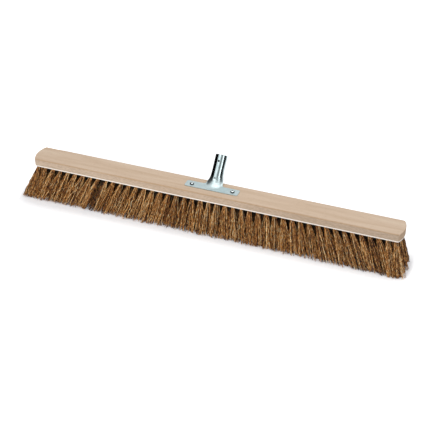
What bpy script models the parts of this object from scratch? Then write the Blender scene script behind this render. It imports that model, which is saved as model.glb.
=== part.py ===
"""Head of a push broom for wide, smooth floors.

A flat beech block is drilled from below with staggered rows of blind holes that fan out
towards its ends. A tuft of coir sits in each hole. A socket pressed and rolled from one
piece of zinc-plated sheet steel is held on top by two round-head screws, and takes the
end of a wooden handle.

Lengths are in metres. +X runs along the block, +Y points to the side the handle leans to,
and +Z is up. The origin is on the floor that the trimmed bristles stand on, under the
middle of the block.
"""

from math import acos, copysign, cos, pi, radians, sin, sqrt, tan

import bmesh
import bpy
from mathutils import Matrix, Vector

# Room left between two pieces that touch.
CLEARANCE = 0.0003

# Block: a board with gently curved ends and eased edges.
BLOCK_LENGTH = 1.000
BLOCK_WIDTH = 0.066
BLOCK_THICKNESS = 0.023
END_BULGE = 0.009
CORNER_EASE = 0.003
TOP_EASE = 0.003
UNDERSIDE_EASE = 0.0015

# Bristles: how far they hang below the block, and how wide the trimmed field of tips is.
BRISTLE_LENGTH = 0.095
TIP_FIELD_WIDTH = 0.092

# Tuft holes in the underside. The end distance is the least that the long rows keep.
ROWS = 5
TUFT_PITCH = 0.022
ROW_EDGE_DISTANCE = 0.008
END_TUFT_DISTANCE = 0.0155
HOLE_DIAMETER = 0.0094
HOLE_DEPTH = 0.014
END_LEAN = radians(24)
FAN_CURVE = 1.7

# Tuft tips, as shares of the spacing between tips: their gap to the next tuft of the row,
# their half-width across the rows, and how far neighbours of one rank lean together.
TIP_GAP = 0.0004
TIP_FULLNESS = 0.62
RANK_PINCH = 0.07
TUFT_SIDES = 6

# Handle socket: bore for the handle, sheet, tube and flared foot.
HANDLE_DIAMETER = 0.028
HANDLE_FIT = 0.0004
SHEET = 0.0014
TUBE_LENGTH = 0.073
TUBE_LEAN = radians(40)
TUBE_OVERHANG = 0.011
SEAM_GAP = 0.004
SEAM_START = 0.028
FLARE_HALF_WIDTH = 0.0225
FLARE_RISE = 0.016
FILLET_RISE = 0.006
FILLET_REACH = 0.0056
NAIL_HOLE_DIAMETER = 0.004
NAIL_HOLE_FROM_MOUTH = 0.0165
STOP_FROM_MOUTH = 0.0645
STOP_PRESS_RADIUS = 0.0032
STOP_DEPTH = 0.0008

# Base plate of the socket.
PLATE_LENGTH = 0.144
PLATE_WIDTH = 0.026
PLATE_CORNER = 0.004

# Round-head wood screws.
SCREW_EDGE_DISTANCE = 0.018
SCREW_LENGTH = 0.020
SCREW_DIAMETER = 0.0048
SCREW_POINT = 0.005
SCREW_HOLE_FIT = 0.0003
HEAD_DIAMETER = 0.0115
HEAD_HEIGHT = 0.004
RECESS_WIDTH = 0.0052
RECESS_SLOT = 0.0011
RECESS_DEPTH = 0.0022

# How finely round shapes are divided.
END_ARC_STEPS = 10
FRONT_COLUMNS = 8
REAR_COLUMNS = 9
FLARE_STEPS = 5
SCREW_SIDES = 16
STOP_SIDES = 12
SMOOTH_ANGLE = radians(40)
TUFT_SMOOTH_ANGLE = radians(70)

# Levels and spacings that follow from the sizes above.
UNDERSIDE = BRISTLE_LENGTH
BLOCK_TOP = UNDERSIDE + BLOCK_THICKNESS
PLATE_TOP = BLOCK_TOP + CLEARANCE + SHEET
TUFTS_EACH_SIDE = int((BLOCK_LENGTH / 2 - END_TUFT_DISTANCE) / TUFT_PITCH)
TUFTS_PER_LONG_ROW = 2 * TUFTS_EACH_SIDE + 1
LONG_ROW_REACH = TUFTS_EACH_SIDE * TUFT_PITCH
ROW_PITCH = (BLOCK_WIDTH - 2 * ROW_EDGE_DISTANCE) / (ROWS - 1)
TIP_ROW_PITCH = TIP_FIELD_WIDTH / (ROWS - 1 + 2 * TIP_FULLNESS * cos(pi / TUFT_SIDES))
TUBE_RADIUS = (HANDLE_DIAMETER + HANDLE_FIT) / 2 + SHEET
TUBE_Y = PLATE_WIDTH / 2 + TUBE_OVERHANG
HEAD_SEAT = PLATE_TOP + CLEARANCE
PILOT_RADIUS = SCREW_DIAMETER / 2 + SCREW_HOLE_FIT


def clear_scene():
    for thing in list(bpy.data.objects):
        bpy.data.objects.remove(thing, do_unlink=True)


def surface(name, colour, roughness, metallic=0.0):
    material = bpy.data.materials.new(name)
    material.use_nodes = True
    shader = material.node_tree.nodes["Principled BSDF"]
    shader.inputs["Base Color"].default_value = (*colour, 1.0)
    shader.inputs["Roughness"].default_value = roughness
    shader.inputs["Metallic"].default_value = metallic
    return material


def add_object(name, shape, material=None, smooth_angle=SMOOTH_ANGLE):
    """Turn a finished bmesh into an object in the scene."""
    mesh = bpy.data.meshes.new(name)
    shape.to_mesh(mesh)
    shape.free()
    mesh.shade_smooth()
    mesh.set_sharp_from_angle(angle=smooth_angle)
    thing = bpy.data.objects.new(name, mesh)
    bpy.context.collection.objects.link(thing)
    if material:
        mesh.materials.append(material)
    return thing


def add_cutter(name, shape):
    cutter = add_object(name, shape)
    cutter.hide_render = True
    cutter.display_type = "WIRE"
    return cutter


def cut(thing, cutter):
    modifier = thing.modifiers.new("cut_" + cutter.name, "BOOLEAN")
    modifier.operation = "DIFFERENCE"
    modifier.object = cutter


def join(thing, other):
    other.hide_render = True
    other.display_type = "WIRE"
    modifier = thing.modifiers.new("join_" + other.name, "BOOLEAN")
    modifier.operation = "UNION"
    modifier.object = other


def even_out_shading(thing):
    """Let large faces decide the shading at eased edges, so that flat faces look flat."""
    modifier = thing.modifiers.new("even_shading", "WEIGHTED_NORMAL")
    modifier.keep_sharp = True


def loft(shape, rings):
    """Add a closed body to a bmesh, through rings of points listed anticlockwise from above,
    the lowest ring first."""
    layers = [[shape.verts.new(point) for point in ring] for ring in rings]
    count = len(rings[0])
    shape.faces.new(layers[0][::-1])
    shape.faces.new(layers[-1])
    for low, high in zip(layers, layers[1:]):
        for i in range(count):
            j = (i + 1) % count
            shape.faces.new((low[i], low[j], high[j], high[i]))


def ring(centre, radius_x, radius_y, sides):
    turns = [2 * pi * i / sides for i in range(sides)]
    return [centre + Vector((radius_x * cos(a), radius_y * sin(a), 0)) for a in turns]


# ---------------------------------------------------------------- block


def end_arc():
    """Points of the curved right end, from its front corner to its back corner."""
    half_width = BLOCK_WIDTH / 2
    radius = (half_width**2 + END_BULGE**2) / (2 * END_BULGE)
    centre = BLOCK_LENGTH / 2 - radius
    spread = acos((radius - END_BULGE) / radius)
    turns = [spread * (2 * i / END_ARC_STEPS - 1) for i in range(END_ARC_STEPS + 1)]
    return [(centre + radius * cos(a), radius * sin(a)) for a in turns]


def block_shape():
    """The board with its edges eased, before any hole is drilled."""
    right = end_arc()
    outline = right + [(-x, -y) for x, y in right]
    shape = bmesh.new()
    loft(shape, [[Vector((x, y, z)) for x, y in outline] for z in (UNDERSIDE, BLOCK_TOP)])
    ease_corners(shape, right[-1][1])
    ease_rim(shape, BLOCK_TOP, TOP_EASE, 3)
    ease_rim(shape, UNDERSIDE, UNDERSIDE_EASE, 2)
    return shape


def ease_corners(shape, corner_y):
    """Round the four upright edges where the ends meet the long sides."""
    corners = []
    for edge in shape.edges:
        low, high = sorted((v.co for v in edge.verts), key=lambda point: point.z)
        upright = high.z - low.z > BLOCK_THICKNESS / 2
        if upright and abs(abs(low.y) - corner_y) < CLEARANCE:
            corners.append(edge)
    bmesh.ops.bevel(shape, geom=corners, offset=CORNER_EASE, segments=2, profile=0.5, affect="EDGES")


def ease_rim(shape, level, size, segments):
    """Round the edge that runs all the way round the block at one level."""
    rim = [e for e in shape.edges if all(abs(v.co.z - level) < CLEARANCE for v in e.verts)]
    bmesh.ops.bevel(shape, geom=rim, offset=size, segments=segments, profile=0.5, affect="EDGES")


def make_block(material):
    block = add_object("wooden_block", block_shape(), material)
    cut(block, tuft_hole_cutter())
    cut(block, pilot_hole_cutter())
    even_out_shading(block)


def tuft_hole_cutter():
    """All tuft holes, each bored along the axis of its tuft."""
    shape = bmesh.new()
    for row in range(ROWS):
        for place in range(row_count(row)):
            levels = (UNDERSIDE - HOLE_DIAMETER / 4, UNDERSIDE + HOLE_DEPTH)
            radius = HOLE_DIAMETER / 2
            loft(shape, [ring(axis_point(row, place, z), radius, radius, TUFT_SIDES) for z in levels])
    return add_cutter("tuft_holes", shape)


def pilot_hole_cutter():
    """Blind holes for the two screws."""
    shape = bmesh.new()
    floor = HEAD_SEAT - SCREW_LENGTH - CLEARANCE
    for x in screw_places():
        levels = (floor, BLOCK_TOP + SHEET)
        loft(shape, [ring(Vector((x, 0, z)), PILOT_RADIUS, PILOT_RADIUS, SCREW_SIDES) for z in levels])
    return add_cutter("pilot_holes", shape)


# ---------------------------------------------------------------- tufts


def row_count(row):
    """Long rows hold one tuft more than the rows staggered between them."""
    return TUFTS_PER_LONG_ROW - row % 2


def root_point(row, place):
    """Where a tuft leaves the underside of the block."""
    x = TUFT_PITCH * (place + 0.5 * (row % 2)) - LONG_ROW_REACH
    y = ROW_PITCH * (row - (ROWS - 1) / 2)
    return Vector((x, y, UNDERSIDE))


def fan(x):
    """Sideways run of a tuft for each metre of drop: none in the middle, most at the ends."""
    return copysign(tan(END_LEAN) * (abs(x) / LONG_ROW_REACH) ** FAN_CURVE, x)


def tip_pitch(x):
    """Spacing along the row between the tips of tufts rooted near x."""
    slope = tan(END_LEAN) * FAN_CURVE * (abs(x) / LONG_ROW_REACH) ** (FAN_CURVE - 1) / LONG_ROW_REACH
    return TUFT_PITCH * (1 + BRISTLE_LENGTH * slope)


def tip_point(row, place):
    """Centre of a tuft's trimmed tip. Long and short rows lean towards each other a little,
    so that the tips of one rank press together."""
    root = root_point(row, place)
    pinch = RANK_PINCH * tip_pitch(root.x) * (-1 if row % 2 else 1)
    x = root.x + BRISTLE_LENGTH * fan(root.x) + pinch
    y = TIP_ROW_PITCH * (row - (ROWS - 1) / 2)
    return Vector((x, y, 0))


def axis_point(row, place, z):
    """Point at height z on the line through a tuft's tip and root, carried on into its hole."""
    return tip_point(row, place).lerp(root_point(row, place), z / UNDERSIDE)


def tuft_rings(row, place):
    """A tuft is pinched at the bottom of its hole, fills the mouth and spreads to its tip."""
    top = UNDERSIDE + HOLE_DEPTH - CLEARANCE
    tip_x = (tip_pitch(root_point(row, place).x) - TIP_GAP) / 2
    tip_y = TIP_FULLNESS * TIP_ROW_PITCH
    mouth = HOLE_DIAMETER / 2 - CLEARANCE
    share = top / UNDERSIDE
    root_x = tip_x + (mouth - tip_x) * share
    root_y = tip_y + (mouth - tip_y) * share
    return [
        ring(axis_point(row, place, 0), tip_x, tip_y, TUFT_SIDES),
        ring(axis_point(row, place, top), root_x, root_y, TUFT_SIDES),
    ]


def tuft_bundle(name, rows, place, material):
    shape = bmesh.new()
    for row in rows:
        loft(shape, tuft_rings(row, place))
    return add_object(name, shape, material, TUFT_SMOOTH_ANGLE)


def unite(thing, other):
    """Make one body of two that run into each other, and drop the second."""
    join(thing, other)
    scene_now = bpy.context.evaluated_depsgraph_get()
    joined = bpy.data.meshes.new_from_object(thing.evaluated_get(scene_now))
    thing.modifiers.clear()
    thing.data = joined
    bpy.data.objects.remove(other, do_unlink=True)


def make_tufts(material):
    """One rank after another: the tufts of one step along the block, whose tips merge.
    The long rows' last tufts have no neighbours in a rank and stand by themselves."""
    long_rows = range(0, ROWS, 2)
    short_rows = range(1, ROWS, 2)
    for place in range(TUFTS_PER_LONG_ROW - 1):
        rank = tuft_bundle(f"tuft_rank_{place + 1:02d}", long_rows, place, material)
        unite(rank, tuft_bundle("short_rows", short_rows, place, material))
    for number, row in enumerate(long_rows, 1):
        tuft_bundle(f"end_tuft_{number}", [row], TUFTS_PER_LONG_ROW - 1, material)


# ---------------------------------------------------------------- handle socket


def on_plate(x, y):
    return Vector((x, y, PLATE_TOP))


def on_tube(turn, height, radius=TUBE_RADIUS):
    """Point at an angle round the tube from its front and a distance along its axis, counted
    from where the axis meets the plate's level."""
    along = Vector((0, sin(TUBE_LEAN), cos(TUBE_LEAN)))
    front = Vector((0, -cos(TUBE_LEAN), sin(TUBE_LEAN)))
    across = Vector((1, 0, 0))
    outwards = sin(turn) * across + cos(turn) * front
    return on_plate(0, TUBE_Y) + height * along + radius * outwards


def foot_height(turn):
    """Distance along the axis at which the tube's wall would meet the plate."""
    return -TUBE_RADIUS * cos(turn) * tan(TUBE_LEAN)


def bend(start, corner, end):
    """Points of a smooth bend from one straight run into another, without its start."""
    points = []
    for step in range(1, FLARE_STEPS + 1):
        t = step / FLARE_STEPS
        points.append(start.lerp(corner, t).lerp(corner.lerp(end, t), t))
    return points


def plate_edge():
    """Outline of the plate's right half: along the front edge, round the front corner, up the
    end and round the back corner, in as many points as the socket's front has columns."""
    end = PLATE_LENGTH / 2
    side = PLATE_WIDTH / 2
    points = [(end - PLATE_CORNER) * i / 3 for i in range(3)]
    points = [(x, -side) for x in points]
    for corner_y, start in ((PLATE_CORNER - side, -pi / 2), (side - PLATE_CORNER, 0)):
        for turn in (0, pi / 4, pi / 2):
            x = end - PLATE_CORNER + PLATE_CORNER * cos(start + turn)
            points.append((x, corner_y + PLATE_CORNER * sin(start + turn)))
    return points


def front_column(number, side_turn):
    """The sheet from the mouth down the front of the tube, through the bend at its foot and
    out to the edge of the plate. Columns are numbered from 0 at the front centre line."""
    share = abs(number) / FRONT_COLUMNS
    sign = copysign(1, number)
    turn = sign * share * side_turn
    rise = FILLET_RISE + (FLARE_RISE - FILLET_RISE) * share**2
    start = on_tube(turn, foot_height(turn) + rise)
    corner = on_tube(turn, foot_height(turn))
    back = PLATE_WIDTH / 2
    depth = back - (TUBE_Y - TUBE_RADIUS / cos(TUBE_LEAN) - FILLET_REACH)
    swing = share * pi / 2
    foot = on_plate(sign * FLARE_HALF_WIDTH * sin(swing), back - depth * cos(swing))
    edge_x, edge_y = plate_edge()[abs(number)]
    mouth = on_tube(turn, TUBE_LENGTH)
    return [mouth, start, *bend(start, corner, foot), on_plate(sign * edge_x, edge_y)]


def rear_column(number, side_turn):
    """The sheet from the mouth down the back of the tube to its free edge, which climbs from
    the back edge of the plate to the foot of the seam. Numbered from 1, beside the front."""
    share = abs(number) / REAR_COLUMNS
    sign = copysign(1, number)
    seam_turn = pi - SEAM_GAP / 2 / TUBE_RADIUS
    turn = side_turn + (seam_turn - side_turn) * share
    corner_x, corner_front = FLARE_HALF_WIDTH, TUBE_OVERHANG * cos(TUBE_LEAN)
    flare_radius = sqrt(corner_x**2 + corner_front**2)
    flare_turn = acos(corner_front / flare_radius)
    left = 1 - share
    low = -TUBE_OVERHANG * sin(TUBE_LEAN)
    height = low + (SEAM_START - low) * (1 - left**2.2)
    radius = TUBE_RADIUS + (flare_radius - TUBE_RADIUS) * left**3
    end = on_tube(sign * (turn + (flare_turn - side_turn) * left**2), height, radius)
    start = on_tube(sign * turn, height + FLARE_RISE)
    corner = on_tube(sign * turn, height + FILLET_RISE * share)
    return [on_tube(sign * turn, TUBE_LENGTH), start, *bend(start, corner, end)]


def socket_sheet():
    """Outer surface of the socket, one strip of faces for each pair of columns."""
    side_turn = acos(TUBE_OVERHANG * cos(TUBE_LEAN) / TUBE_RADIUS)
    columns = [rear_column(-n, side_turn) for n in range(REAR_COLUMNS, 0, -1)]
    columns += [front_column(n, side_turn) for n in range(-FRONT_COLUMNS, FRONT_COLUMNS + 1)]
    columns += [rear_column(n, side_turn) for n in range(1, REAR_COLUMNS + 1)]
    shape = bmesh.new()
    corners = [[shape.verts.new(point) for point in column] for column in columns]
    for left, right in zip(corners, corners[1:]):
        for i in range(min(len(left), len(right)) - 1):
            shape.faces.new((left[i + 1], right[i + 1], right[i], left[i]))
    return shape


def make_socket(material):
    socket = add_object("handle_socket", socket_sheet(), material)
    wall = socket.modifiers.new("sheet_thickness", "SOLIDIFY")
    wall.thickness = SHEET
    wall.offset = -1
    wall.use_even_offset = True
    join(socket, stop_boss())
    cut(socket, stop_dish_cutter())
    cut(socket, plate_hole_cutter())
    cut(socket, nail_hole_cutter())
    even_out_shading(socket)


def plate_hole_cutter():
    """Screw holes through the plate."""
    shape = bmesh.new()
    for x in screw_places():
        levels = (PLATE_TOP - 2 * SHEET, PLATE_TOP + SHEET)
        loft(shape, [ring(Vector((x, 0, z)), PILOT_RADIUS, PILOT_RADIUS, SCREW_SIDES) for z in levels])
    return add_cutter("plate_holes", shape)


def nail_hole_cutter():
    """Hole through the front of the tube, near its mouth, for the nail that holds the handle."""
    shape = bmesh.new()
    bmesh.ops.create_cone(
        shape,
        cap_ends=True,
        segments=SCREW_SIDES,
        radius1=NAIL_HOLE_DIAMETER / 2,
        radius2=NAIL_HOLE_DIAMETER / 2,
        depth=4 * SHEET,
    )
    set_on_tube_front(shape, NAIL_HOLE_FROM_MOUTH)
    return add_cutter("nail_hole", shape)


def set_on_tube_front(shape, from_mouth):
    """Move a shape modelled about the origin, facing up, to the front of the tube."""
    place = Matrix.Translation(on_tube(0, TUBE_LENGTH - from_mouth))
    tilt = Matrix.Rotation(pi / 2 - TUBE_LEAN, 4, "X")
    bmesh.ops.transform(shape, matrix=place @ tilt, verts=shape.verts)


def stop_boss():
    """Inside of the dimple that stops the handle: a low dome on the inner wall."""
    radius = STOP_PRESS_RADIUS + SHEET
    centre = STOP_PRESS_RADIUS - STOP_DEPTH
    rings = []
    for step in (0.1, 0.4, 0.7, 1.0):
        height = -SHEET - STOP_DEPTH * (1 - step**2)
        reach = sqrt(radius**2 - (height - centre) ** 2)
        rings.append(ring(Vector((0, 0, height)), reach, reach, STOP_SIDES))
    rings.append(ring(Vector((0, 0, -SHEET / 2)), reach, reach, STOP_SIDES))
    shape = bmesh.new()
    loft(shape, rings)
    set_on_tube_front(shape, STOP_FROM_MOUTH)
    return add_object("stop_boss", shape)


def stop_dish_cutter():
    """Outside of the same dimple: the shallow dish left by a round punch."""
    shape = bmesh.new()
    bmesh.ops.create_uvsphere(shape, u_segments=STOP_SIDES, v_segments=STOP_SIDES, radius=STOP_PRESS_RADIUS)
    above = Matrix.Translation((0, 0, STOP_PRESS_RADIUS - STOP_DEPTH))
    bmesh.ops.transform(shape, matrix=above, verts=shape.verts)
    set_on_tube_front(shape, STOP_FROM_MOUTH)
    return add_cutter("stop_dish", shape)


# ---------------------------------------------------------------- screws


def screw_places():
    """The screws run down between tufts: each stands half way between two of the middle row,
    as near as that comes to its distance from the plate's end."""
    wanted = PLATE_LENGTH / 2 - SCREW_EDGE_DISTANCE
    x = (round(wanted / TUFT_PITCH - 0.5) + 0.5) * TUFT_PITCH
    return (-x, x)


def screw_profile():
    """Radius and height of the screw's outline, from its point up over its domed head."""
    shank = SCREW_DIAMETER / 2
    head = HEAD_DIAMETER / 2
    points = [(shank * 0.12, -SCREW_LENGTH), (shank, SCREW_POINT - SCREW_LENGTH), (shank, 0), (head, 0)]
    dome_radius = (head**2 + HEAD_HEIGHT**2) / (2 * HEAD_HEIGHT)
    spread = acos((dome_radius - HEAD_HEIGHT) / dome_radius)
    for step in range(1, 5):
        turn = spread * (1 - step / 5)
        points.append((dome_radius * sin(turn), dome_radius * cos(turn) + HEAD_HEIGHT - dome_radius))
    return points


def make_screw(name, x, material):
    shape = bmesh.new()
    rings = []
    for radius, height in screw_profile():
        rings.append(ring(Vector((x, 0, HEAD_SEAT + height)), radius, radius, SCREW_SIDES))
    loft(shape, rings)
    screw = add_object(name, shape, material)
    cut(screw, recess_cutter(name + "_recess", x))
    even_out_shading(screw)


def recess_cutter(name, x):
    """Cross recess: a tapered punch with four wings."""
    top = HEAD_SEAT + HEAD_HEIGHT + SHEET
    bottom = HEAD_SEAT + HEAD_HEIGHT - RECESS_DEPTH
    shape = bmesh.new()
    rings = []
    for level, reach in ((bottom, RECESS_WIDTH / 4), (top, RECESS_WIDTH / 2)):
        half = RECESS_SLOT / 2
        wing = [(reach, -half), (reach, half), (half, half)]
        outline = []
        for quarter in range(4):
            turn = Matrix.Rotation(quarter * pi / 2, 3, "Z")
            outline += [turn @ Vector((a, b, 0)) + Vector((x, 0, level)) for a, b in wing]
        rings.append(outline)
    loft(shape, rings)
    return add_cutter(name, shape)


def build():
    clear_scene()
    beech = surface("beech", (0.58, 0.43, 0.29), 0.6)
    coir = surface("coir", (0.28, 0.13, 0.04), 0.85)
    zinc = surface("zinc_plated_steel", (0.62, 0.66, 0.68), 0.25, 1.0)
    make_block(beech)
    make_tufts(coir)
    make_socket(zinc)
    for name, x in zip(("screw_left", "screw_right"), screw_places()):
        make_screw(name, x, zinc)


build()
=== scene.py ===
from math import acos, asin, copysign, cos, hypot, pi, radians, sin, tan

import bpy
import numpy as np
from mathutils import Matrix, Vector


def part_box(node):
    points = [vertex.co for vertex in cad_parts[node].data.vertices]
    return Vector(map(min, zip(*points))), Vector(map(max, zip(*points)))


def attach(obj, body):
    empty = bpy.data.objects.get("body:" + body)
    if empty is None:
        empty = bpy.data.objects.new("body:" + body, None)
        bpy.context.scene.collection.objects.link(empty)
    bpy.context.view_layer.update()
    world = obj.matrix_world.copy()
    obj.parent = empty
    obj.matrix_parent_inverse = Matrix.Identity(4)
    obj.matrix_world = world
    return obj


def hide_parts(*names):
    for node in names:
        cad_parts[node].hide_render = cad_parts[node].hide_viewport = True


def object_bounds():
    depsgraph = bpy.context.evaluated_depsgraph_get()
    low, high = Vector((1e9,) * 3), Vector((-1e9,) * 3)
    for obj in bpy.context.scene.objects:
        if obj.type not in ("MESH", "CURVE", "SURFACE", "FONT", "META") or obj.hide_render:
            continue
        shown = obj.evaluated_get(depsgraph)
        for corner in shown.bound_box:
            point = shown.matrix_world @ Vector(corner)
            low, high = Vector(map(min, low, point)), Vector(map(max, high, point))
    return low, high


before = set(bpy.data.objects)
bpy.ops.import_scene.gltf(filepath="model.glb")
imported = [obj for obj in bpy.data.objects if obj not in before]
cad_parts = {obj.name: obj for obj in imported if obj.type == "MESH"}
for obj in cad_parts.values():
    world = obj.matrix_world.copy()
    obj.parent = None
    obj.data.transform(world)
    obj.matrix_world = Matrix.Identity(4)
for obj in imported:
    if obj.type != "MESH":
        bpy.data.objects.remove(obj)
cad_low, cad_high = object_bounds()

# A push broom's head: a beech block, 223 tufts of coir and a pressed steel handle socket.
# Lengths are in metres. X runs along the block, the sweeping side faces -Y, the floor is z = 0.

# ---------------------------------------------------------------- sizes

BLOCK_LOW, BLOCK_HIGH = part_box("wooden_block")
END_BULGE = 0.009
CORNER_EASE = 0.003
TOP_EASE = 0.0022
UNDERSIDE_EASE = 0.0015
END_ARC_STEPS = 22

UNDERSIDE = BLOCK_LOW.z
BRISTLE_LENGTH = UNDERSIDE
TUFT_PITCH = 0.022
TUFTS_PER_LONG_ROW = 45
ROW_PITCH = 0.0125
TIP_ROW_PITCH = 0.0197
REAR_TIP_ROW_PITCH = 0.0165
REAR_STRAIGHTER = 0.14
HOLE_RADIUS = 0.0047
HOLE_DEPTH = 0.014
HOLE_SIDES = 14

# How far the tufts lean along the block, in degrees, by place along it. Stiff fibres that are
# set upright are pressed outwards at the ends, and never quite the same at both.
LEANS = (
    (-0.484, -19), (-0.43, -24), (-0.33, -24), (-0.24, -22), (-0.19, -18), (-0.13, -12), (0.0, 1),
    (0.17, 6), (0.24, 13), (0.33, 23), (0.42, 25), (0.462, 16), (0.484, 10),
)
LEAN_PLACES, LEAN_DEGREES = zip(*LEANS)

# Coir is 0.2 to 0.4 mm thick. Each bristle here stands for several fibres and is drawn 1.1 mm
# thick, as fine as shows. Bristles start a little way up their hole.
DICE_SEED = 7
BRISTLES_PER_TUFT = 88
BRISTLE_RADIUS = 0.00056
BRISTLE_TAPER = 0.8
BRISTLE_STATIONS = [step / 12 for step in range(1, 12)]
BRISTLE_START = 0.005
UV_STRIPS = 48

# A tuft's reach from its middle at the floor, how unevenly that middle stands, and the power
# with which it widens on its way down.
TUFT_TIP_REACH_X = 0.0180
TUFT_TIP_REACH_Y = 0.0112
TIP_UNEVEN_X = 0.0008
TIP_UNEVEN_Y = 0.0005
SPREAD_POWER = 0.86

# Fibres hang together in locks. HOLE_FILL is a share of the hole's radius. The fills, limit and
# drift below it are shares of the tuft's reach, at the hole and at the floor alike.
LOCKS_PER_TUFT = 30
HOLE_FILL = 0.88
LOCK_FILL = 0.92
TIP_LIMIT = 1.15
LOCK_DRIFT = 0.24
LOCK_TRIM = 0.0013
LOCK_CURL = 0.0009
STRAY_SHARE = 0.2
GOLDEN_ANGLE = 2.39996

# Tones run from 0, dark brown, to 1, straw. By turns a fibre is paler or darker than its lock.
MEAN_TONE = 0.465
LOCK_TONE = 0.11
FIBRE_TONE = 0.23

SHEET = 0.0014
PLATE_GAP = 0.0003
PLATE_TOP = BLOCK_HIGH.z + PLATE_GAP + SHEET
PLATE_LENGTH = 0.144
PLATE_WIDTH = 0.026
PLATE_CORNER = 0.004
TUBE_RADIUS = 0.0156
TUBE_LENGTH = 0.073
TUBE_LEAN = radians(40)
TUBE_OVERHANG = 0.011
TUBE_Y = PLATE_WIDTH / 2 + TUBE_OVERHANG
SEAM_GAP = 0.004
SEAM_START = 0.028
FLARE_HALF_WIDTH = 0.0225
FLARE_RISE = 0.032
FILLET_RISE = 0.0170
FILLET_REACH = 0.0105
FRONT_COLUMNS = 8
REAR_COLUMNS = 9
TUBE_STATIONS = (1, 0.5, 0.3, 0.22, 0.14, 0.06, 0)
BEND_STEPS = 5
NAIL_HOLE_RADIUS = 0.0028
NAIL_HOLE_FROM_MOUTH = 0.0175
STOP_FROM_MOUTH = 0.0645
STOP_RADIUS = 0.0036
STOP_DEPTH = 0.0012
SOCKET_EDGE = 0.00022

SCREW_X = 0.055
SCREW_RADIUS = 0.0024
SCREW_LENGTH = 0.020
SCREW_POINT = 0.0003
SCREW_CLEARANCE = 0.0003
SCREW_EDGE = 0.00012
HEAD_RADIUS = 0.00575
HEAD_HEIGHT = 0.004
HEAD_UNDERCUT = 0.0014
HEAD_RIM = 0.0009
FLANK_HEIGHT = 0.0026
RECESS_HALF_WIDTH = 0.0033
RECESS_SLOT = 0.0019
RECESS_DEPTH = 0.0022
RECESS_TAPER = 0.45

CARD_DISTANCE = 0.9
CARD_REACH = 0.3
CARD_LEVEL = 0.001

# Points nearer to each other or to a plane than this are taken to touch it.
TOUCHING = 1e-5


# ---------------------------------------------------------------- making shapes


def nothing_selected():
    if bpy.context.object and bpy.context.object.mode != "OBJECT":
        bpy.ops.object.mode_set(mode="OBJECT")
    bpy.ops.object.select_all(action="DESELECT")


def only(thing):
    """Makes this the one selected and active object."""
    nothing_selected()
    thing.select_set(True)
    bpy.context.view_layer.objects.active = thing
    return thing


def named(name):
    """Names the primitive that was just added and puts its place into its mesh."""
    thing = bpy.context.object
    thing.name = thing.data.name = name
    bpy.ops.object.transform_apply(location=True, rotation=True, scale=True)
    return thing


def pick(thing, kind, wanted):
    """Selects the vertices, edges or faces that wanted() names, in edit mode."""
    only(thing)
    bpy.ops.object.mode_set(mode="EDIT")
    bpy.ops.mesh.select_mode(type=kind)
    bpy.ops.mesh.select_all(action="DESELECT")
    bpy.ops.object.mode_set(mode="OBJECT")
    mesh = thing.data
    for item in {"VERT": mesh.vertices, "EDGE": mesh.edges, "FACE": mesh.polygons}[kind]:
        item.select = wanted(item)
    bpy.ops.object.mode_set(mode="EDIT")


def finish_modifier(thing, kind, **settings):
    """Adds a modifier and applies it."""
    only(thing)
    made = thing.modifiers.new(kind.lower(), kind)
    for name, value in settings.items():
        setattr(made, name, value)
    bpy.ops.object.modifier_apply(modifier=made.name)


def cut_away(thing, cutter):
    finish_modifier(
        thing, "BOOLEAN",
        operation="DIFFERENCE", solver="EXACT", object=cutter, material_mode="TRANSFER",
    )
    bpy.data.objects.remove(cutter)


def round_edges(thing, width, degrees):
    """Rounds every edge that is sharper than this angle."""
    limit = {"limit_method": "ANGLE", "angle_limit": radians(degrees)}
    finish_modifier(thing, "BEVEL", width=width, segments=2, **limit)


def smooth(thing, degrees):
    """Smooth shading up to this angle, in which the large faces stay flat beside small bevels."""
    only(thing)
    bpy.ops.object.shade_smooth_by_angle(angle=radians(degrees))
    finish_modifier(thing, "WEIGHTED_NORMAL", keep_sharp=True)


def place_on(thing, body, node_names):
    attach(thing, body)
    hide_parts(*node_names)


# ---------------------------------------------------------------- making materials


def linear(code):
    """An sRGB hex value as linear RGBA."""
    parts = [int(code[i : i + 2], 16) / 255 for i in (1, 3, 5)]
    return (*[p / 12.92 if p <= 0.04045 else ((p + 0.055) / 1.055) ** 2.4 for p in parts], 1)


def grey(level):
    """A linear grey as RGBA."""
    return (level, level, level, 1)


def add_node(tree, kind, inputs=None, stops=None, **settings):
    """A shader node. Its inputs are values, outputs, or other nodes, which give their first
    output. Its stops are a ramp's places and colours."""
    made = tree.nodes.new("ShaderNode" + kind)
    for name, value in settings.items():
        setattr(made, name, value)
    for name, value in (inputs or {}).items():
        if isinstance(value, bpy.types.Node):
            value = value.outputs[0]
        if isinstance(value, bpy.types.NodeSocket):
            tree.links.new(value, made.inputs[name])
        else:
            made.inputs[name].default_value = value
    if stops:
        elements = made.color_ramp.elements
        while len(elements) < len(stops):
            elements.new(0.5)
        for element, (position, colour) in zip(elements, stops):
            element.position = position
            element.color = linear(colour) if isinstance(colour, str) else colour
    return made


def new_material(name):
    """A material with an empty tree, and the tree's object coordinates."""
    made = bpy.data.materials.new(name)
    made.use_nodes = True
    tree = made.node_tree
    tree.nodes.clear()
    return made, tree, add_node(tree, "TexCoord").outputs["Object"]


def wear(thing, material):
    thing.data.materials.clear()
    thing.data.materials.append(material)


# ---------------------------------------------------------------- the block


def tuft_root(row, place):
    """Centre of a tuft's hole in the underside. Rows are numbered from the front, -2 to 2."""
    half_step = 0.5 if row % 2 else 0
    x = (place - (TUFTS_PER_LONG_ROW - 1) / 2 + half_step) * TUFT_PITCH
    return np.array((x, row * ROW_PITCH, UNDERSIDE))


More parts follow.
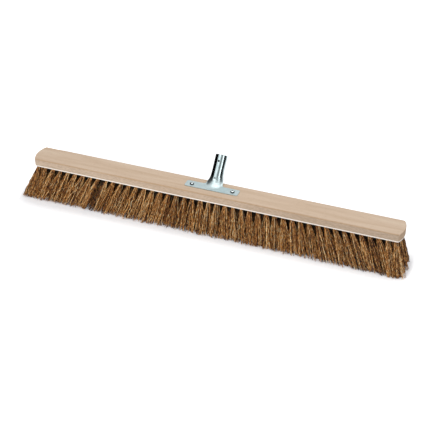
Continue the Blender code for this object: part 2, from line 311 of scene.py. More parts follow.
def tuft_tip(row, place):
    """Where the tuft's middle reaches the floor. The rear rows stand straighter than the front."""
    root = tuft_root(row, place)
    straighter = 1 - REAR_STRAIGHTER * max(row, 0)
    lean = straighter * radians(float(np.interp(root[0], LEAN_PLACES, LEAN_DEGREES)))
    pitch = TIP_ROW_PITCH if row < 0 else REAR_TIP_ROW_PITCH
    return np.array((root[0] + BRISTLE_LENGTH * tan(lean), row * pitch, 0))


def places_in(row):
    return range(TUFTS_PER_LONG_ROW - row % 2)


def block_plan():
    """The block's plan as one flat face: long straight edges joined by a shallow arc at each
    end. A single corner is spun round one end, drawn along, and spun round the other."""
    side = BLOCK_HIGH.y
    corner = BLOCK_HIGH.x - END_BULGE
    radius = (side**2 + END_BULGE**2) / (2 * END_BULGE)
    swing = 2 * asin(side / radius)
    nothing_selected()
    bpy.ops.mesh.primitive_plane_add(size=2 * side, location=(corner + side, 0, UNDERSIDE))
    block = named("beech_block")
    pick(block, "VERT", lambda v: v.co.x > corner + side or v.co.y > 0)
    bpy.ops.mesh.delete(type="VERT")
    bpy.ops.mesh.select_all(action="SELECT")
    for end in (1, -1):
        centre = (end * (BLOCK_HIGH.x - radius), 0, UNDERSIDE)
        bpy.ops.mesh.spin(steps=END_ARC_STEPS, angle=-swing, center=centre, axis=(0, 0, 1))
        along = (-end * 2 * corner, 0, 0)
        bpy.ops.mesh.extrude_region_move(TRANSFORM_OT_translate={"value": along})
    bpy.ops.mesh.select_all(action="SELECT")
    bpy.ops.mesh.remove_doubles(threshold=TOUCHING)
    bpy.ops.mesh.edge_face_add()
    return block


def ease_edges(thing, size, segments, wanted):
    """Rounds the edges whose two ends wanted() accepts."""
    corners = thing.data.vertices
    pick(thing, "EDGE", lambda e: wanted(*[corners[i].co for i in e.vertices]))
    bpy.ops.mesh.bevel(offset=size, segments=segments, affect="EDGES")
    bpy.ops.object.mode_set(mode="OBJECT")


def at_level(level):
    return lambda a, b: abs(a.z - level) < TOUCHING and abs(b.z - level) < TOUCHING


def drill(thing, bit, matrices):
    """Cuts a copy of the bit out of the thing at each place."""
    nothing_selected()
    for matrix in matrices:
        copy = bpy.data.objects.new("drilled", bit.data.copy())
        bpy.context.collection.objects.link(copy)
        copy.data.transform(matrix)
        copy.select_set(True)
    bpy.context.view_layer.objects.active = copy
    bpy.ops.object.join()
    cut_away(thing, copy)


def drill_bit(radius, length, sides):
    """A bit of this length on each side of the origin, with a blunt point at its lower end."""
    nothing_selected()
    bpy.ops.mesh.primitive_cylinder_add(vertices=sides, radius=radius, depth=2 * length)
    bit = named("bit")
    pick(bit, "FACE", lambda f: f.normal.z > 0.9)
    bpy.ops.mesh.extrude_region_move(TRANSFORM_OT_translate={"value": (0, 0, radius / 2)})
    bpy.ops.transform.resize(value=(0.2, 0.2, 1))
    bpy.ops.object.mode_set(mode="OBJECT")
    return bit


def screw_places():
    return [Matrix.Translation((x, 0, PLATE_TOP)) for x in (-SCREW_X, SCREW_X)]


def make_block(finish):
    block = block_plan()
    thickness = BLOCK_HIGH.z - BLOCK_LOW.z
    bpy.ops.mesh.extrude_region_move(TRANSFORM_OT_translate={"value": (0, 0, thickness)})
    bpy.ops.mesh.select_all(action="SELECT")
    bpy.ops.mesh.normals_make_consistent(inside=False)
    corner = Vector((BLOCK_HIGH.x - END_BULGE, BLOCK_HIGH.y, 0))

    def upright_corner(a, b):
        off = max((Vector((abs(p.x), abs(p.y), 0)) - corner).length for p in (a, b))
        return off < 10 * TOUCHING and abs(a.z - b.z) > thickness / 2

    ease_edges(block, CORNER_EASE, 5, upright_corner)
    ease_edges(block, TOP_EASE, 5, at_level(BLOCK_HIGH.z))
    ease_edges(block, UNDERSIDE_EASE, 3, at_level(BLOCK_LOW.z))

    bit = drill_bit(HOLE_RADIUS, HOLE_DEPTH, HOLE_SIDES)
    holes = []
    for row in range(-2, 3):
        for place in places_in(row):
            root = Vector(tuft_root(row, place))
            up = root - Vector(tuft_tip(row, place))
            holes.append(Matrix.Translation(root) @ up.to_track_quat("Z", "Y").to_matrix().to_4x4())
    drill(block, bit, holes)
    pilot = drill_bit(SCREW_RADIUS + SCREW_CLEARANCE, SCREW_LENGTH, HOLE_SIDES)
    turned_over = Matrix.Rotation(pi, 4, "X")
    drill(block, pilot, [place @ turned_over for place in screw_places()])
    for used in (bit, pilot):
        bpy.data.objects.remove(used)
    smooth(block, 35)
    wear(block, finish)
    place_on(block, "root", ["wooden_block"])


# ---------------------------------------------------------------- the bristles


def bristle_stock():
    """One straight bristle of unit length and radius, three-sided, from its root at z = 0."""
    nothing_selected()
    bpy.ops.mesh.primitive_cylinder_add(vertices=3, radius=1, depth=1, location=(0, 0, 0.5))
    stock = named("bristle_stock")
    bpy.ops.object.mode_set(mode="EDIT")
    for station in BRISTLE_STATIONS:
        bpy.ops.mesh.select_all(action="SELECT")
        bpy.ops.mesh.bisect(plane_co=(0, 0, station), plane_no=(0, 0, 1))
    pick(stock, "VERT", lambda v: v.co.z > 0.99)
    bpy.ops.transform.resize(value=(BRISTLE_TAPER, BRISTLE_TAPER, 1))
    bpy.ops.object.mode_set(mode="OBJECT")
    corners = np.array([v.co for v in stock.data.vertices])
    faces = [list(f.vertices) for f in stock.data.polygons]
    bpy.data.objects.remove(stock)
    return corners, faces


def tuft_lines(dice, row, place, stations):
    """Centre lines of one tuft's bristles at the stations, with each bristle's tone and radius.
    The fibres leave the hole as a tight bundle and spread in thin locks, each with its own curl,
    and some stray across their neighbours."""
    root, tip = tuft_root(row, place), tuft_tip(row, place)
    tip = tip + np.array((dice.normal(0, TIP_UNEVEN_X), dice.normal(0, TIP_UNEVEN_Y), 0))

    # The locks stand round a spiral in the hole and drift from their places towards the tips.
    locks, count = LOCKS_PER_TUFT, BRISTLES_PER_TUFT
    number = np.arange(locks)
    spin = GOLDEN_ANGLE * number + dice.uniform(0, 2 * pi)
    ring = np.sqrt((number + 0.5) / locks) * LOCK_FILL
    lock_root = np.stack((ring * np.cos(spin), ring * np.sin(spin)), 1)
    lock_root += dice.normal(0, 0.05, lock_root.shape)
    lock_tip = lock_root + dice.normal(0, LOCK_DRIFT, lock_root.shape)
    lock_tone = dice.normal(0, LOCK_TONE, locks)
    lock_tone -= lock_tone.mean()
    lock_trim = dice.uniform(0, LOCK_TRIM, locks)
    lock_curl = dice.normal(0, LOCK_CURL, (locks, 2))
    lock_phase = dice.uniform(0, 2 * pi, (locks, 2))
    lock_waves = dice.uniform(1.8, 4.2, (locks, 1))

    # The fibres follow their lock with small differences of their own, strays with large ones.
    lock = dice.integers(0, locks, count)
    loose = (dice.uniform(size=count) < STRAY_SHARE).astype(float)[:, None]
    at_root = lock_root[lock] + dice.normal(0, 0.06, (count, 2))
    at_root *= np.minimum(1, LOCK_FILL / np.linalg.norm(at_root, axis=1, keepdims=True))
    at_tip = lock_tip[lock] + dice.normal(0, 1, (count, 2)) * (0.05 + 0.33 * loose)
    at_tip *= np.minimum(1, TIP_LIMIT / np.linalg.norm(at_tip, axis=1, keepdims=True))
    ends = lock_trim[lock] + np.abs(dice.normal(0, 0.0005, count))
    curl = lock_curl[lock] + dice.normal(0, 1, (count, 2)) * (0.00015 + 0.0010 * loose)
    phase = lock_phase[lock] + dice.normal(0, 0.25, (count, 2)) + 3 * loose
    waves = lock_waves[lock] + dice.normal(0, 0.08, (count, 1)) + 0.5 * loose

    # Each line runs from its place in the hole to its place at the floor, with its own waves.
    s = stations[None, :]
    start = UNDERSIDE + BRISTLE_START
    z = start + (ends[:, None] - start) * s
    down = (UNDERSIDE - z) / BRISTLE_LENGTH
    middle = root[None, None, :2] + (tip - root)[None, None, :2] * down[:, :, None]
    spread = (np.maximum(0, down) ** SPREAD_POWER)[:, :, None]
    narrow = HOLE_RADIUS * HOLE_FILL * at_root[:, None, :]
    wide = np.array((TUFT_TIP_REACH_X, TUFT_TIP_REACH_Y)) * at_tip[:, None, :]
    swing = 2 * pi * waves[:, None, :] * s[:, :, None] + phase[:, None, :]
    wave = curl[:, None, :] * np.sin(swing) * np.minimum(1, 2 * spread)
    plan = middle + narrow * (1 - spread) + wide * spread + wave
    lines = np.concatenate((plan, z[:, :, None]), 2)

    by_turns = 1 - 2 * (np.arange(count) % 2)
    tone = MEAN_TONE + lock_tone[lock] + by_turns * dice.normal(FIBRE_TONE, 0.1, count)
    radius = BRISTLE_RADIUS * dice.uniform(0.7, 1.3, count)
    return lines, np.clip(tone, 0, 1), radius


def bristles(name, tufts, stock, finish, dice):
    """All the bristles of these tufts as one piece. Each is a copy of the stock, bent along its
    own line. Its tone is an attribute, and its UV strip runs from root to tip."""
    corners, faces = stock
    stations = np.unique(np.round(corners[:, 2], 4))
    which = np.searchsorted(stations, np.round(corners[:, 2], 4))
    found = [tuft_lines(dice, row, place, stations) for row, place in tufts]
    lines, tone, radius = [np.concatenate(part) for part in zip(*found)]
    inner = [abs(row) < 2 and 0 < place < TUFTS_PER_LONG_ROW - 2 for row, place in tufts]
    inner = np.repeat(inner, BRISTLES_PER_TUFT)
    count = len(lines)

    run = np.gradient(lines, axis=1)
    run /= np.linalg.norm(run, axis=2, keepdims=True)
    side = np.array((1.0, 0, 0)) - run * run[:, :, :1]
    side /= np.linalg.norm(side, axis=2, keepdims=True)
    front = np.cross(run, side)
    turn = dice.uniform(0, 2 * pi, count)[:, None]
    x = corners[:, 0] * np.cos(turn) - corners[:, 1] * np.sin(turn)
    y = corners[:, 0] * np.sin(turn) + corners[:, 1] * np.cos(turn)
    points = lines[:, which] + radius[:, None, None] * (
        x[:, :, None] * side[:, which] + y[:, :, None] * front[:, which]
    )
    points[:, :, 2] = np.maximum(points[:, :, 2], cad_low.z)

    step = len(corners)
    mesh = bpy.data.meshes.new(name)
    all_faces = [[i + step * n for i in face] for n in range(count) for face in faces]
    mesh.from_pydata(points.reshape(-1, 3).tolist(), [], all_faces)
    mesh.attributes.new("tone", "FLOAT", "POINT").data.foreach_set("value", np.repeat(tone, step))
    # The inner rows' bristles are darkened from their roots to below half of their length: painted
    # shade, for the shade that falls deep between the rows.
    root_shade = np.clip(1.4 - corners[:, 2] / 0.45, 0, 1)[None, :] * inner[:, None]
    mesh.attributes.new("root_shade", "FLOAT", "POINT").data.foreach_set("value", root_shade.ravel())
    strip = np.arange(count)[:, None]
    across = (strip % UV_STRIPS + 0.5 + 0.4 * corners[:, 0]) / UV_STRIPS
    along = (strip // UV_STRIPS + 0.04 + 0.92 * corners[:, 2]) / -(-count // UV_STRIPS)
    unrolled = np.stack((across, along), 2).reshape(-1, 2)
    corner_of = np.zeros(len(mesh.loops), dtype=int)
    mesh.loops.foreach_get("vertex_index", corner_of)
    mesh.uv_layers.new(name="OFBake").uv.foreach_set("vector", unrolled[corner_of].ravel())
    mesh.shade_smooth()
    piece = bpy.data.objects.new(name, mesh)
    bpy.context.collection.objects.link(piece)
    wear(piece, finish)
    return piece


def make_bristles(finish):
    dice = np.random.default_rng(DICE_SEED)
    stock = bristle_stock()
    long_rows, short_rows = (-2, 0, 2), (-1, 1)
    # The tufts at both ends stand free on one side, so they are drawn twice as full.
    for place in range(TUFTS_PER_LONG_ROW - 1):
        tufts = [(row, place) for row in (*long_rows, *short_rows)]
        tufts *= 2 if place in (0, TUFTS_PER_LONG_ROW - 2) else 1
        rank = bristles(f"coir_rank_{place + 1:02d}", tufts, stock, finish, dice)
        place_on(rank, "root", [f"tuft_rank_{place + 1:02d}"])
    for number, row in enumerate(long_rows, 1):
        tufts = [(row, TUFTS_PER_LONG_ROW - 1)] * 2
        last = bristles(f"coir_end_{number}", tufts, stock, finish, dice)
        place_on(last, "root", [f"end_tuft_{number}"])


# ---------------------------------------------------------------- the handle socket


def on_plate(x, y):
    return Vector((x, y, PLATE_TOP))


def on_tube(turn, height, radius=TUBE_RADIUS):
    """Point at an angle round the tube from its front and a distance along its axis, counted
    from where the axis meets the plate's level."""
    along = Vector((0, sin(TUBE_LEAN), cos(TUBE_LEAN)))
    front = Vector((0, -cos(TUBE_LEAN), sin(TUBE_LEAN)))
    outwards = sin(turn) * Vector((1, 0, 0)) + cos(turn) * front
    return on_plate(0, TUBE_Y) + height * along + radius * outwards


def foot_height(turn):
    """Distance along the axis at which the tube's wall would meet the plate."""
    return -TUBE_RADIUS * cos(turn) * tan(TUBE_LEAN)


def down_the_tube(turn, height):
    """Points down the tube's wall from its mouth to this height, closer together near the foot."""
    return [on_tube(turn, height + (TUBE_LENGTH - height) * part) for part in TUBE_STATIONS]


def bend(start, corner, end):
    """Points of a smooth bend from one straight run into another, without its start."""
    parts = [step / BEND_STEPS for step in range(1, BEND_STEPS + 1)]
    return [start.lerp(corner, t).lerp(corner.lerp(end, t), t) for t in parts]


def plate_edge():
    """Outline of the plate's right half, one point for each column of the socket's front."""
    end, side = PLATE_LENGTH / 2, PLATE_WIDTH / 2
    points = [((end - PLATE_CORNER) * i / 3, -side) for i in range(3)]
    for corner_y, start in ((PLATE_CORNER - side, -pi / 2), (side - PLATE_CORNER, 0)):
        for turn in (0, pi / 4, pi / 2):
            x = end - PLATE_CORNER + PLATE_CORNER * cos(start + turn)
            points.append((x, corner_y + PLATE_CORNER * sin(start + turn)))
    return points


def front_column(number, side_turn):
    """The sheet from the mouth down the front of the tube, round the bend at its foot and out
    to the edge of the plate. Columns are numbered from 0 at the front centre line."""
    share, sign = abs(number) / FRONT_COLUMNS, copysign(1, number)
    turn = sign * share * side_turn
    rise = FILLET_RISE + (FLARE_RISE - FILLET_RISE) * share**2
    start = foot_height(turn) + rise
    back = PLATE_WIDTH / 2
    depth = back - (TUBE_Y - TUBE_RADIUS / cos(TUBE_LEAN) - FILLET_REACH)
    swing = share * pi / 2
    foot = on_plate(sign * FLARE_HALF_WIDTH * sin(swing), back - depth * cos(swing))
    edge_x, edge_y = plate_edge()[abs(number)]
    edge = on_plate(sign * edge_x, edge_y)
    curve = bend(on_tube(turn, start), on_tube(turn, foot_height(turn)), foot)
    return [*down_the_tube(turn, start), *curve, foot.lerp(edge, 0.2), edge]


def rear_column(number, side_turn):
    """The sheet from the mouth down the back of the tube to its free edge, which climbs from
    the back edge of the plate to the foot of the seam. Numbered from 1, beside the front."""
    share, sign = abs(number) / REAR_COLUMNS, copysign(1, number)
    seam_turn = pi - SEAM_GAP / 2 / TUBE_RADIUS
    turn = side_turn + (seam_turn - side_turn) * share
    corner_front = TUBE_OVERHANG * cos(TUBE_LEAN)
    flare_radius = hypot(FLARE_HALF_WIDTH, corner_front)
    flare_turn = acos(corner_front / flare_radius)
    left = 1 - share
    low = -TUBE_OVERHANG * sin(TUBE_LEAN)
    height = low + (SEAM_START - low) * (1 - left**2.2)
    radius = TUBE_RADIUS + (flare_radius - TUBE_RADIUS) * left**3
    end = on_tube(sign * (turn + (flare_turn - side_turn) * left**2), height, radius)
    corner = on_tube(sign * turn, height + 0.35 * FILLET_RISE * share)
    start = height + FLARE_RISE
    return [*down_the_tube(sign * turn, start), *bend(on_tube(sign * turn, start), corner, end)]


def pressed_sheet():
    """The socket's outer face: a flat blank whose columns are pressed to their places."""
    side_turn = acos(TUBE_OVERHANG * cos(TUBE_LEAN) / TUBE_RADIUS)
    columns = [rear_column(-n, side_turn) for n in range(REAR_COLUMNS, 0, -1)]
    columns += [front_column(n, side_turn) for n in range(-FRONT_COLUMNS, FRONT_COLUMNS + 1)]
    columns += [rear_column(n, side_turn) for n in range(1, REAR_COLUMNS + 1)]
    across, down = len(columns) - 1, max(map(len, columns)) - 1
    nothing_selected()
    bpy.ops.mesh.primitive_grid_add(x_subdivisions=across, y_subdivisions=down, size=2)
    sheet = named("pressed_socket")
    spare = set()
    for vertex in sheet.data.vertices:
        column = columns[round((vertex.co.x + 1) / 2 * across)]
        row = round((1 - vertex.co.y) / 2 * down)
        if row < len(column):
            vertex.co = column[row]
        else:
            spare.add(vertex.index)
    pick(sheet, "VERT", lambda v: v.index in spare)
    bpy.ops.mesh.delete(type="VERT")
    bpy.ops.object.mode_set(mode="OBJECT")
    return sheet


def press_stop(sheet):
    """The round dimple at the foot of the tube that stops the handle."""
    centre = on_tube(0, TUBE_LENGTH - STOP_FROM_MOUTH)
    inwards = Vector((0, cos(TUBE_LEAN), -sin(TUBE_LEAN)))
    for vertex in sheet.data.vertices:
        away = (vertex.co - centre).length / STOP_RADIUS
        if away < 1:
            vertex.co += inwards * STOP_DEPTH * (1 - away**2) ** 1.5


def make_socket(finish, inside_shade_finish):
    socket = pressed_sheet()
    finish_modifier(socket, "SUBSURF", levels=2, render_levels=2)
    press_stop(socket)
    finish_modifier(socket, "SOLIDIFY", thickness=SHEET, offset=-1, use_even_offset=True)
    punch = drill_bit(SCREW_RADIUS + SCREW_CLEARANCE, 3 * SHEET, 24)
    drill(socket, punch, screw_places())
    nail_punch = drill_bit(NAIL_HOLE_RADIUS, 3 * SHEET, 24)
    nail = Matrix.Translation(on_tube(0, TUBE_LENGTH - NAIL_HOLE_FROM_MOUTH))
    drill(socket, nail_punch, [nail @ Matrix.Rotation(pi / 2 - TUBE_LEAN, 4, "X")])
    for used in (punch, nail_punch):
        bpy.data.objects.remove(used)
    round_edges(socket, SOCKET_EDGE, 50)
    smooth(socket, 40)
    wear(socket, finish)
    # The inside of the tube wears near-black zinc: painted shade.
    socket.data.materials.append(inside_shade_finish)
    axis_foot, along = on_plate(0, TUBE_Y), Vector((0, sin(TUBE_LEAN), cos(TUBE_LEAN)))
    for face in socket.data.polygons:
        height = (face.center - axis_foot).dot(along)
        outwards = (face.center - axis_foot - height * along).normalized()
        if face.normal.dot(outwards) < -0.7 and 0 < height < TUBE_LENGTH:
            face.material_index = 1
    place_on(socket, "root", ["handle_socket"])


# ---------------------------------------------------------------- the screws


def screw_outline():
    """Radius and height of the screw from its point up over its domed head."""
    dome = (HEAD_RADIUS**2 + HEAD_HEIGHT**2) / (2 * HEAD_HEIGHT)
    spread = acos((dome - HEAD_HEIGHT) / dome)
    points = [(SCREW_POINT, -SCREW_LENGTH), (SCREW_RADIUS, -0.75 * SCREW_LENGTH)]
    points += [(SCREW_RADIUS, 0), (HEAD_RADIUS - HEAD_UNDERCUT, 0), (HEAD_RADIUS, HEAD_RIM)]
    for step in range(2, 10):
        turn = spread * (1 - step / 10)
        points.append((dome * sin(turn), dome * cos(turn) + HEAD_HEIGHT - dome))
    return points


def make_screw(side, node, finish, shade_finish, sides=40):
    """A round-head wood screw, drawn up from its point ring by ring, with a cross recess, and left
    at a turn of its own. The recess and the low flank of the head wear near-black zinc, which is
    painted shade."""
    base = Vector((side * SCREW_X, 0, PLATE_TOP + PLATE_GAP / 2))
    outline = screw_outline()
    was, low = outline[0]
    nothing_selected()
    bpy.ops.mesh.primitive_circle_add(
        vertices=sides, radius=was, fill_type="NGON", location=base + Vector((0, 0, low))
    )
    screw = named(node + "_zinc")
    bpy.ops.object.mode_set(mode="EDIT")
    bpy.ops.mesh.select_all(action="SELECT")
    for radius, height in outline[1:]:
        bpy.ops.mesh.extrude_region_move(TRANSFORM_OT_translate={"value": (0, 0, height - low)})
        bpy.ops.transform.resize(
            value=(radius / was, radius / was, 1), center_override=base + Vector((0, 0, height))
        )
        was, low = radius, height
    bpy.ops.mesh.select_all(action="SELECT")
    bpy.ops.mesh.normals_make_consistent(inside=False)
    wear(screw, finish)
    screw.data.materials.append(shade_finish)
    # Painted shade: the head's low flank wears near-black zinc, for the shadow line under its rim.
    pick(screw, "FACE", lambda f: 0 < f.center.z - base.z < FLANK_HEIGHT)
    screw.active_material_index = 1
    bpy.ops.object.material_slot_assign()
    turn = 0.4 - side * 0.35
    for quarter in (0, pi / 2):
        nothing_selected()
        bpy.ops.mesh.primitive_cube_add(
            size=1,
            location=base + Vector((0, 0, HEAD_HEIGHT)),
            rotation=(0, 0, turn + quarter),
            scale=(2 * RECESS_HALF_WIDTH, RECESS_SLOT, 2 * RECESS_DEPTH),
        )
        cross = named("cross")
        floor_level = base.z + HEAD_HEIGHT - RECESS_DEPTH
        pick(cross, "FACE", lambda f: f.center.z < floor_level + TOUCHING)
        bpy.ops.transform.resize(
            value=(RECESS_TAPER, RECESS_TAPER, 1), center_override=(base.x, base.y, floor_level)
        )
        wear(cross, shade_finish)
        cut_away(screw, cross)
    round_edges(screw, SCREW_EDGE, 45)
    smooth(screw, 40)
    place_on(screw, "root", [node])


# ---------------------------------------------------------------- the finishes


def sanded_beech():
    """Plain beech, sawn, planed and sanded, without varnish: pale pinkish tan, matt, with faint
    growth rings along the board, short dark ray flecks, and darker end grain."""
    made, tree, place = new_material("sanded_beech")
    at = add_node(tree, "SeparateXYZ", {"Vector": place}).outputs
    facing = add_node(tree, "NewGeometry").outputs["Normal"]
    facing = add_node(tree, "SeparateXYZ", {"Vector": facing}).outputs

    # Broad bands of tone, 60 to 300 mm long and 5 to 20 mm wide.
    bands = add_node(tree, "Mapping", {"Vector": place, "Scale": (5, 70, 70)})
    bands = add_node(tree, "TexNoise", {"Vector": bands, "Scale": 1.0, "Detail": 4.0})
    colour = add_node(
        tree, "ValToRGB", {"Fac": bands},
        stops=[(0.25, "#C6AD93"), (0.44, "#CDB59D"), (0.58, "#D2BBA4"), (0.78, "#D8C4AE")],
    )

    # The board is cut 200 mm from the heart of the tree, a little aslant. Its growth rings are
    # 2.8 mm wide and wander by up to 12 mm along it. Each darkens slowly and ends at once.
    wander = add_node(tree, "Mapping", {"Vector": place, "Scale": (2.2, 14, 14)})
    wander = add_node(tree, "TexNoise", {"Vector": wander, "Scale": 1.0, "Detail": 3.0})
    ring = add_node(
        tree, "VectorMath", {0: place, 1: (0, 1, 1), 2: (0, -0.012, 0.10)}, operation="MULTIPLY_ADD"
    )
    ring = add_node(tree, "VectorMath", {0: ring}, operation="LENGTH").outputs["Value"]
    ring = add_node(tree, "Math", {0: at["X"], 1: 0.011, 2: ring}, operation="MULTIPLY_ADD")
    ring = add_node(tree, "Math", {0: wander, 1: 0.012, 2: ring}, operation="MULTIPLY_ADD")
    ring = add_node(tree, "Math", {0: ring, 1: 0.0028}, operation="DIVIDE")
    ring = add_node(tree, "Math", {0: ring}, operation="FRACT")
    late_wood = add_node(
        tree, "ValToRGB", {"Fac": ring},
        stops=[(0.0, grey(0)), (0.55, grey(0.013)), (0.9, grey(0.13)), (1.0, grey(0))],
    )

    # Ray flecks, drawn about 1 mm by 9 mm: the real ones are half that and would not show.
    flecks = add_node(tree, "Mapping", {"Vector": place, "Scale": (110, 900, 700)})
    flecks = add_node(tree, "TexNoise", {"Vector": flecks, "Scale": 1.0, "Detail": 2.0})
    fleck = add_node(
        tree, "MapRange", {"Value": flecks, "From Min": 0.6, "From Max": 0.72, "To Max": 0.32}
    )

    # End grain drinks light: it is darker and browner than the long faces.
    end_grain = add_node(tree, "Math", {0: facing["X"]}, operation="ABSOLUTE")
    end_grain = add_node(
        tree, "MapRange", {"Value": end_grain, "From Min": 0.45, "From Max": 0.8, "To Max": 0.55}
    )

    # The front is as the saw left it, with torn fibres drawn 6 mm by 2 mm, twice their real size.
    # It is darker than the planed top, partly from those fibres and partly painted shade, and
    # painted shade makes it a little greyer towards the right end.
    sawn = add_node(tree, "MapRange", {"Value": facing["Y"], "From Min": -0.6, "From Max": -0.9})
    torn = add_node(tree, "Mapping", {"Vector": place, "Scale": (150, 560, 520)})
    torn = add_node(tree, "TexNoise", {"Vector": torn, "Scale": 1.0, "Detail": 2.0})
    torn = add_node(
        tree, "MapRange", {"Value": torn, "From Min": 0.38, "From Max": 0.66, "To Max": 0.4}
    )
    right_end_shade = add_node(
        tree, "MapRange", {"Value": at["X"], "From Min": -0.15, "From Max": 0.5, "To Max": 0.3}
    )
    torn_and_front_shade = add_node(tree, "Math", {0: torn, 1: right_end_shade}, operation="ADD")
    torn_and_front_shade = add_node(tree, "Math", {0: torn_and_front_shade, 1: sawn}, operation="MULTIPLY")

    # The bottom arris is painted paler than the faces: a painted highlight, for the light it
    # catches from the floor.
    bottom_arris_highlight = {"From Min": UNDERSIDE + 0.0046, "From Max": UNDERSIDE + 0.0032, "To Max": 0.95}
    bottom_arris_highlight = add_node(tree, "MapRange", {"Value": at["Z"], **bottom_arris_highlight})

    # The eased top arris, front and back, is painted a little darker: painted shade along the
    # rounded edge.
    top_arris_shade = add_node(tree, "Math", {0: at["Y"]}, operation="ABSOLUTE")
    top_arris_shade = add_node(tree, "Math", {0: at["Z"], 1: top_arris_shade}, operation="ADD")
    arris = BLOCK_HIGH.z + BLOCK_HIGH.y
    top_arris_shade = add_node(
        tree, "MapRange",
        {"Value": top_arris_shade, "From Min": arris - 0.0034, "From Max": arris - 0.0018, "To Max": 0.5},
    )

    for share, tint in (
        (late_wood, "#B99B7B"),
        (fleck, "#9A7857"),
        # torn fibres and painted shade on the front
        (end_grain, "#A98A6A"),
        (torn_and_front_shade, "#9F8A76"),
        # painted highlight along the bottom arris
        (bottom_arris_highlight, "#FFF6EC"),
        # painted shade along the top arris
        (top_arris_shade, "#A98660"),
    ):
        colour = add_node(tree, "MixRGB", {"Fac": share, "Color1": colour, "Color2": linear(tint)})

    # Matt, with fine grain along the board.
    rough = add_node(tree, "MapRange", {"Value": flecks, "To Min": 0.64, "To Max": 0.8})
    grain = add_node(tree, "Mapping", {"Vector": place, "Scale": (60, 1400, 1400)})
    grain = add_node(tree, "TexNoise", {"Vector": grain, "Scale": 1.0, "Detail": 3.0})
    bump = add_node(tree, "Bump", {"Height": grain, "Strength": 0.35, "Distance": 0.0002})
    shader = add_node(
        tree, "BsdfPrincipled",
        {"Base Color": colour, "Roughness": rough, "Specular IOR Level": 0.25, "Normal": bump},
    )
    add_node(tree, "OutputMaterial", {"Surface": shader})
    return made


def coir_fibre():
    """Coir, the coarse husk fibre of the coconut, dried and cut: golden brown, each fibre its own
    tone from straw to dark brown, dull with a slight gloss along it."""
    made, tree, place = new_material("coir_fibre")
    tone = add_node(tree, "Attribute", attribute_name="tone").outputs["Fac"]
    root_shade = add_node(tree, "Attribute", attribute_name="root_shade").outputs["Fac"]
    # Fibres cross and shade each other every few millimetres: the mottle is drawn 2 mm by 10 mm.
    mottle = add_node(tree, "Mapping", {"Vector": place, "Scale": (460, 460, 95)})
    mottle = add_node(tree, "TexNoise", {"Vector": mottle, "Scale": 1.0, "Detail": 2.0})
    shift = {"From Min": 0.3, "From Max": 0.7, "To Min": -0.4, "To Max": 0.4}
    shift = add_node(tree, "MapRange", {"Value": mottle, **shift})
    tone = add_node(tree, "Math", {0: tone, 1: shift}, operation="ADD")
    colour = add_node(
        tree, "ValToRGB", {"Fac": tone},
        stops=[
            (0.0, "#1A0B02"), (0.25, "#60340F"), (0.45, "#A8692A"),
            (0.62, "#CF8F49"), (0.8, "#EBB268"), (1.0, "#FBE0AE"),
        ],
    )
    # Painted shade: the inner rows' bristles turn near black towards their roots.
    colour = add_node(
        tree, "MixRGB", {"Fac": root_shade, "Color1": colour, "Color2": linear("#120B06")}
    )
    rough = add_node(tree, "MapRange", {"Value": mottle, "To Min": 0.5, "To Max": 0.75})
    shader = add_node(
        tree, "BsdfPrincipled",
        {"Base Color": colour, "Roughness": rough, "Specular IOR Level": 0.4},
    )
    add_node(tree, "OutputMaterial", {"Surface": shader})
    return made


def bright_zinc(name, tints, rough_flat, rough_drawn):
    """Pressed sheet steel, electroplated with zinc and passivated clear: bright, faintly blue,
    with soft clouding where the press has drawn the sheet and the bath has run off."""
    made, tree, place = new_material(name)
    clouds = add_node(tree, "TexNoise", {"Vector": place, "Scale": 95.0, "Detail": 3.0})
    colour = add_node(
        tree, "ValToRGB", {"Fac": clouds}, stops=[(0.35, tints[0]), (0.65, tints[1])]
    )
    # The die has burnished what it drew up, and the flat sheet is left satin.
    height = add_node(tree, "SeparateXYZ", {"Vector": place}).outputs["Z"]
    drawn = {"From Min": PLATE_TOP + 0.007, "From Max": PLATE_TOP + 0.024}
    rough = add_node(
        tree, "MapRange", {"Value": height, **drawn, "To Min": rough_flat, "To Max": rough_drawn}
    )
    clouding = add_node(tree, "MapRange", {"Value": clouds, "To Min": -0.05, "To Max": 0.05})
    rough = add_node(tree, "Math", {0: rough, 1: clouding}, operation="ADD")
    # Rolling marks of the sheet, drawn 0.8 mm apart.
    marks = add_node(tree, "TexNoise", {"Vector": place, "Scale": 1200.0, "Detail": 2.0})
    bump = add_node(tree, "Bump", {"Height": marks, "Strength": 0.12, "Distance": 0.0001})
    shader = add_node(
        tree, "BsdfPrincipled",
        {"Base Color": colour, "Metallic": 1.0, "Roughness": rough, "Normal": bump},
    )
    add_node(tree, "OutputMaterial", {"Surface": shader})
    return made


# ---------------------------------------------------------------- the studio


def looked_at(tree):
    """1 for how the camera, a mirror or glass sees a surface, 0 for the light it casts."""
    path = add_node(tree, "LightPath").outputs
    seen = add_node(
        tree, "Math", {0: path["Is Camera Ray"], 1: path["Is Glossy Ray"]}, operation="MAXIMUM"
    )
    return add_node(tree, "Math", {0: seen, 1: path["Is Transmission Ray"]}, operation="MAXIMUM")


